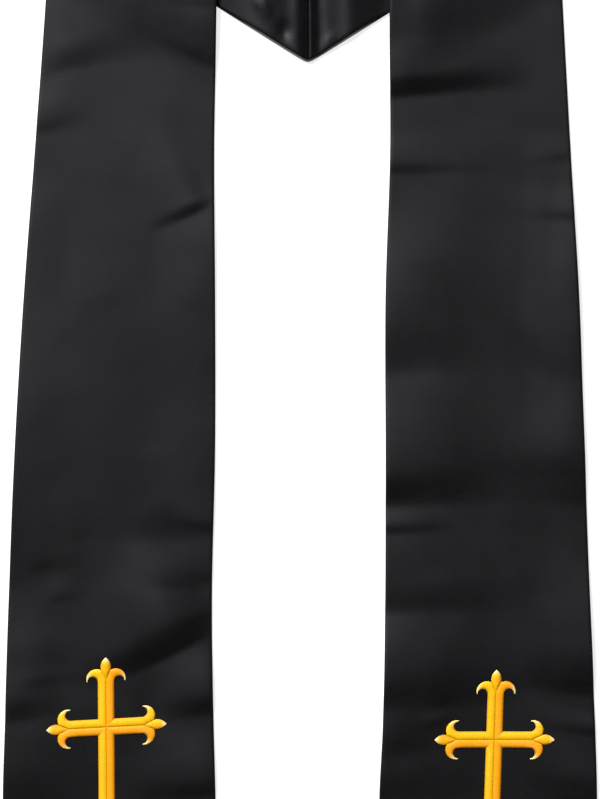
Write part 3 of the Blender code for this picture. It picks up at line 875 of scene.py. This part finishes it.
def weave_group():
    """Fine satin floats along the cloth: their height, how much each is lit, and slow cloudy variation."""
    tree = bpy.data.node_groups.new("satin_weave", "ShaderNodeTree")
    settings = {
        "Floats a metre": FLOATS_A_METRE,
        "Bundles a metre": BUNDLES_A_METRE,
        "Float length": FLOAT_LENGTH,
        "Fine share": FINE_SHARE,
    }
    for name, value in settings.items():
        tree.interface.new_socket(name, in_out="INPUT", socket_type="NodeSocketFloat").default_value = value
    for name in ("Height", "Grain", "Cloud"):
        tree.interface.new_socket(name, in_out="OUTPUT", socket_type="NodeSocketFloat")
    entry, leave = tree.nodes.new("NodeGroupInput"), tree.nodes.new("NodeGroupOutput")
    cloth = add_node(tree, "ShaderNodeUVMap", uv_map="cloth").outputs["UV"]
    axes = add_node(tree, "ShaderNodeSeparateXYZ", inputs={0: cloth})
    lengths = {0: axes.outputs["Y"], 1: entry.outputs["Float length"]}
    shortened = add_node(tree, "ShaderNodeMath", operation="DIVIDE", inputs=lengths)
    stretched = add_node(
        tree, "ShaderNodeCombineXYZ", inputs={"X": axes.outputs["X"], "Y": shortened.outputs[0]}
    )
    threads = {"Vector": stretched.outputs[0], "Detail": WEAVE_DETAIL, "Roughness": WEAVE_ROUGHNESS}
    floats, bundles = (
        add_node(tree, "ShaderNodeTexNoise", inputs={**threads, "Scale": entry.outputs[count]}).outputs["Fac"]
        for count in ("Floats a metre", "Bundles a metre")
    )
    height = add_node(tree, "ShaderNodeMix", inputs={0: entry.outputs["Fine share"], 2: bundles, 3: floats})
    clouds = {"Vector": cloth, "Scale": CLOUDS_A_METRE, "Detail": CLOUD_DETAIL}
    cloud = add_node(tree, "ShaderNodeTexNoise", inputs=clouds)
    tree.links.new(height.outputs[0], leave.inputs["Height"])
    tree.links.new(spread_value(tree, bundles, GRAIN_SPAN), leave.inputs["Grain"])
    tree.links.new(cloud.outputs["Fac"], leave.inputs["Cloud"])
    return tree


def satin_finish(satin, weave):
    """A woven black satin whose colour and roughness follow its weave."""
    finish, tree, shader = new_finish(satin.name)
    woven = add_node(tree, "ShaderNodeGroup", node_tree=weave)
    relief = {"Strength": 1.0, "Distance": satin.relief * METRE, "Height": woven.outputs["Height"]}
    bump = add_node(tree, "ShaderNodeBump", inputs=relief)
    colour = mixed_colour(tree, woven.outputs["Grain"], satin.dark, satin.light)
    gloss = spread_value(tree, woven.outputs["Cloud"], CLOUD_SPAN, satin.roughness)
    tree.links.new(colour, shader.inputs["Base Color"])
    tree.links.new(gloss, shader.inputs["Roughness"])
    tree.links.new(bump.outputs["Normal"], shader.inputs["Normal"])
    shader.inputs["Specular IOR Level"].default_value = satin.shine
    shader.inputs["Specular Tint"].default_value = SATIN_TINT
    return finish


def gold_thread_finish():
    """Silky gold thread: each stitch a little different, painted brown shade at the outer rims, painted pale
    tip highlights.
    """
    finish, tree, shader = new_finish("gold_thread")
    stitches = add_node(tree, "ShaderNodeUVMap", uv_map="stitches").outputs["UV"]
    shade = add_node(tree, "ShaderNodeAttribute", attribute_name="shade").outputs["Fac"]
    # The pale attribute holds the painted highlight at the tips of horns and leaves
    pale = add_node(tree, "ShaderNodeAttribute", attribute_name="pale").outputs["Fac"]
    across = add_node(tree, "ShaderNodeSeparateXYZ", inputs={0: stitches}).outputs["X"]
    # Painted shade in brown along the outer rims, stronger on the shaded side of an arm
    rims = {0: spread_value(tree, across, RIM_SHADE_SPAN), 1: spread_value(tree, shade, onto=RIM_SHADE_STRENGTH)}
    rim_shade_share = add_node(tree, "ShaderNodeMath", operation="MULTIPLY", inputs=rims).outputs[0]
    # Painted shade: the gold is lighter on the lit side of an arm and darker on the shaded side
    lit = mixed_colour(tree, shade, GOLD_LIT, GOLD_SHADED)
    rim_shaded = mixed_colour(tree, rim_shade_share, lit, GOLD_RIM_SHADE)
    tip_highlighted = mixed_colour(tree, pale, rim_shaded, GOLD_TIP_HIGHLIGHT)
    threads = {"Vector": stitches, "Scale": 1.0, "Detail": THREAD_DETAIL}
    noise = add_node(tree, "ShaderNodeTexNoise", inputs=threads).outputs["Fac"]
    uneven = spread_value(tree, noise, THREAD_SPAN, THREAD_BRIGHTNESS)
    colour = mixed_colour(tree, 1.0, tip_highlighted, uneven, blend_type="MULTIPLY")
    tree.links.new(colour, shader.inputs["Base Color"])
    shader.inputs["Roughness"].default_value = GOLD_ROUGHNESS
    shader.inputs["Specular IOR Level"].default_value = GOLD_SHINE
    return finish


def plain_floor():
    """A broad pale surface under the stole."""
    bm = bmesh.new()
    bmesh.ops.create_grid(bm, x_segments=1, y_segments=1, size=FLOOR_REACH)
    bmesh.ops.translate(bm, vec=(0.0, 0.0, -FLOOR_DROP), verts=bm.verts)
    finish, _, shader = new_finish("pale_floor")
    shader.inputs["Base Color"].default_value = FLOOR_COLOUR
    shader.inputs["Emission Color"].default_value = WHITE
    shader.inputs["Emission Strength"].default_value = FLOOR_GLOW
    shader.inputs["Roughness"].default_value = FLOOR_ROUGHNESS
    shader.inputs["Specular IOR Level"].default_value = FLOOR_SHINE
    floor = add_object("floor", bm, finish)


def key_light():
    """A round soft light beyond the left shoulder, turned to the middle of the stole."""
    lamp = bpy.data.lights.new("key", "AREA")
    lamp.shape = "DISK"
    lamp.size = LAMP_SIZE
    lamp.energy = LAMP_WATTS
    light = bpy.data.objects.new("key", lamp)
    light.location = LAMP_PLACE
    light.rotation_euler = (-Vector(LAMP_PLACE)).to_track_quat("-Z", "Y").to_euler()
    bpy.context.collection.objects.link(light)


def overhead_camera():
    """A camera that looks straight down at the part of the stole that the photograph shows."""
    lens = bpy.data.cameras.new("overhead")
    lens.sensor_width = SENSOR_WIDTH
    lens.lens = SENSOR_WIDTH * CAMERA_HEIGHT / VIEW_LENGTH
    camera = bpy.data.objects.new("overhead", lens)
    camera.location = (*VIEW_CENTRE, CAMERA_HEIGHT + VIEW_LEVEL)
    bpy.context.collection.objects.link(camera)
    bpy.context.scene.camera = camera


def surroundings():
    """A plain world whose glow falls from the horizon to overhead."""
    world = bpy.data.worlds.new("studio")
    world.use_nodes = True
    tree = world.node_tree
    facing = add_node(tree, "ShaderNodeTexCoord").outputs["Generated"]
    upwards = add_node(tree, "ShaderNodeSeparateXYZ", inputs={0: facing}).outputs["Z"]
    glows = (HORIZON_GLOW, OVERHEAD_GLOW)
    glow = spread_value(tree, upwards, HORIZON_SPAN, glows, interpolation_type="SMOOTHSTEP")
    background = tree.nodes["Background"]
    background.inputs["Color"].default_value = WHITE
    tree.links.new(glow, background.inputs["Strength"])
    bpy.context.scene.world = world
    bpy.context.scene.view_settings.view_transform = "Standard"


def build():
    """Makes the stole's six pieces, and hides the part of the solid that each one takes the place of."""
    weave = weave_group()
    outer_satin = satin_finish(OUTER_SATIN, weave)
    lining_satin = satin_finish(LINING_SATIN, weave)
    gold_thread = gold_thread_finish()
    for half in (LEFT, RIGHT):
        for cloth, outside, finish in (("outer", True, outer_satin), ("lining", False, lining_satin)):
            piece = panel(f"{cloth}_{half.name}_cloth", half, outside, finish)
            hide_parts(f"{cloth}_{half.name}")
        stitched = cross(f"cross_{half.name}_stitches", half, gold_thread)
        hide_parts(f"cross_{half.name}")


overhead_camera()
key_light()
surroundings()
plain_floor()
build()
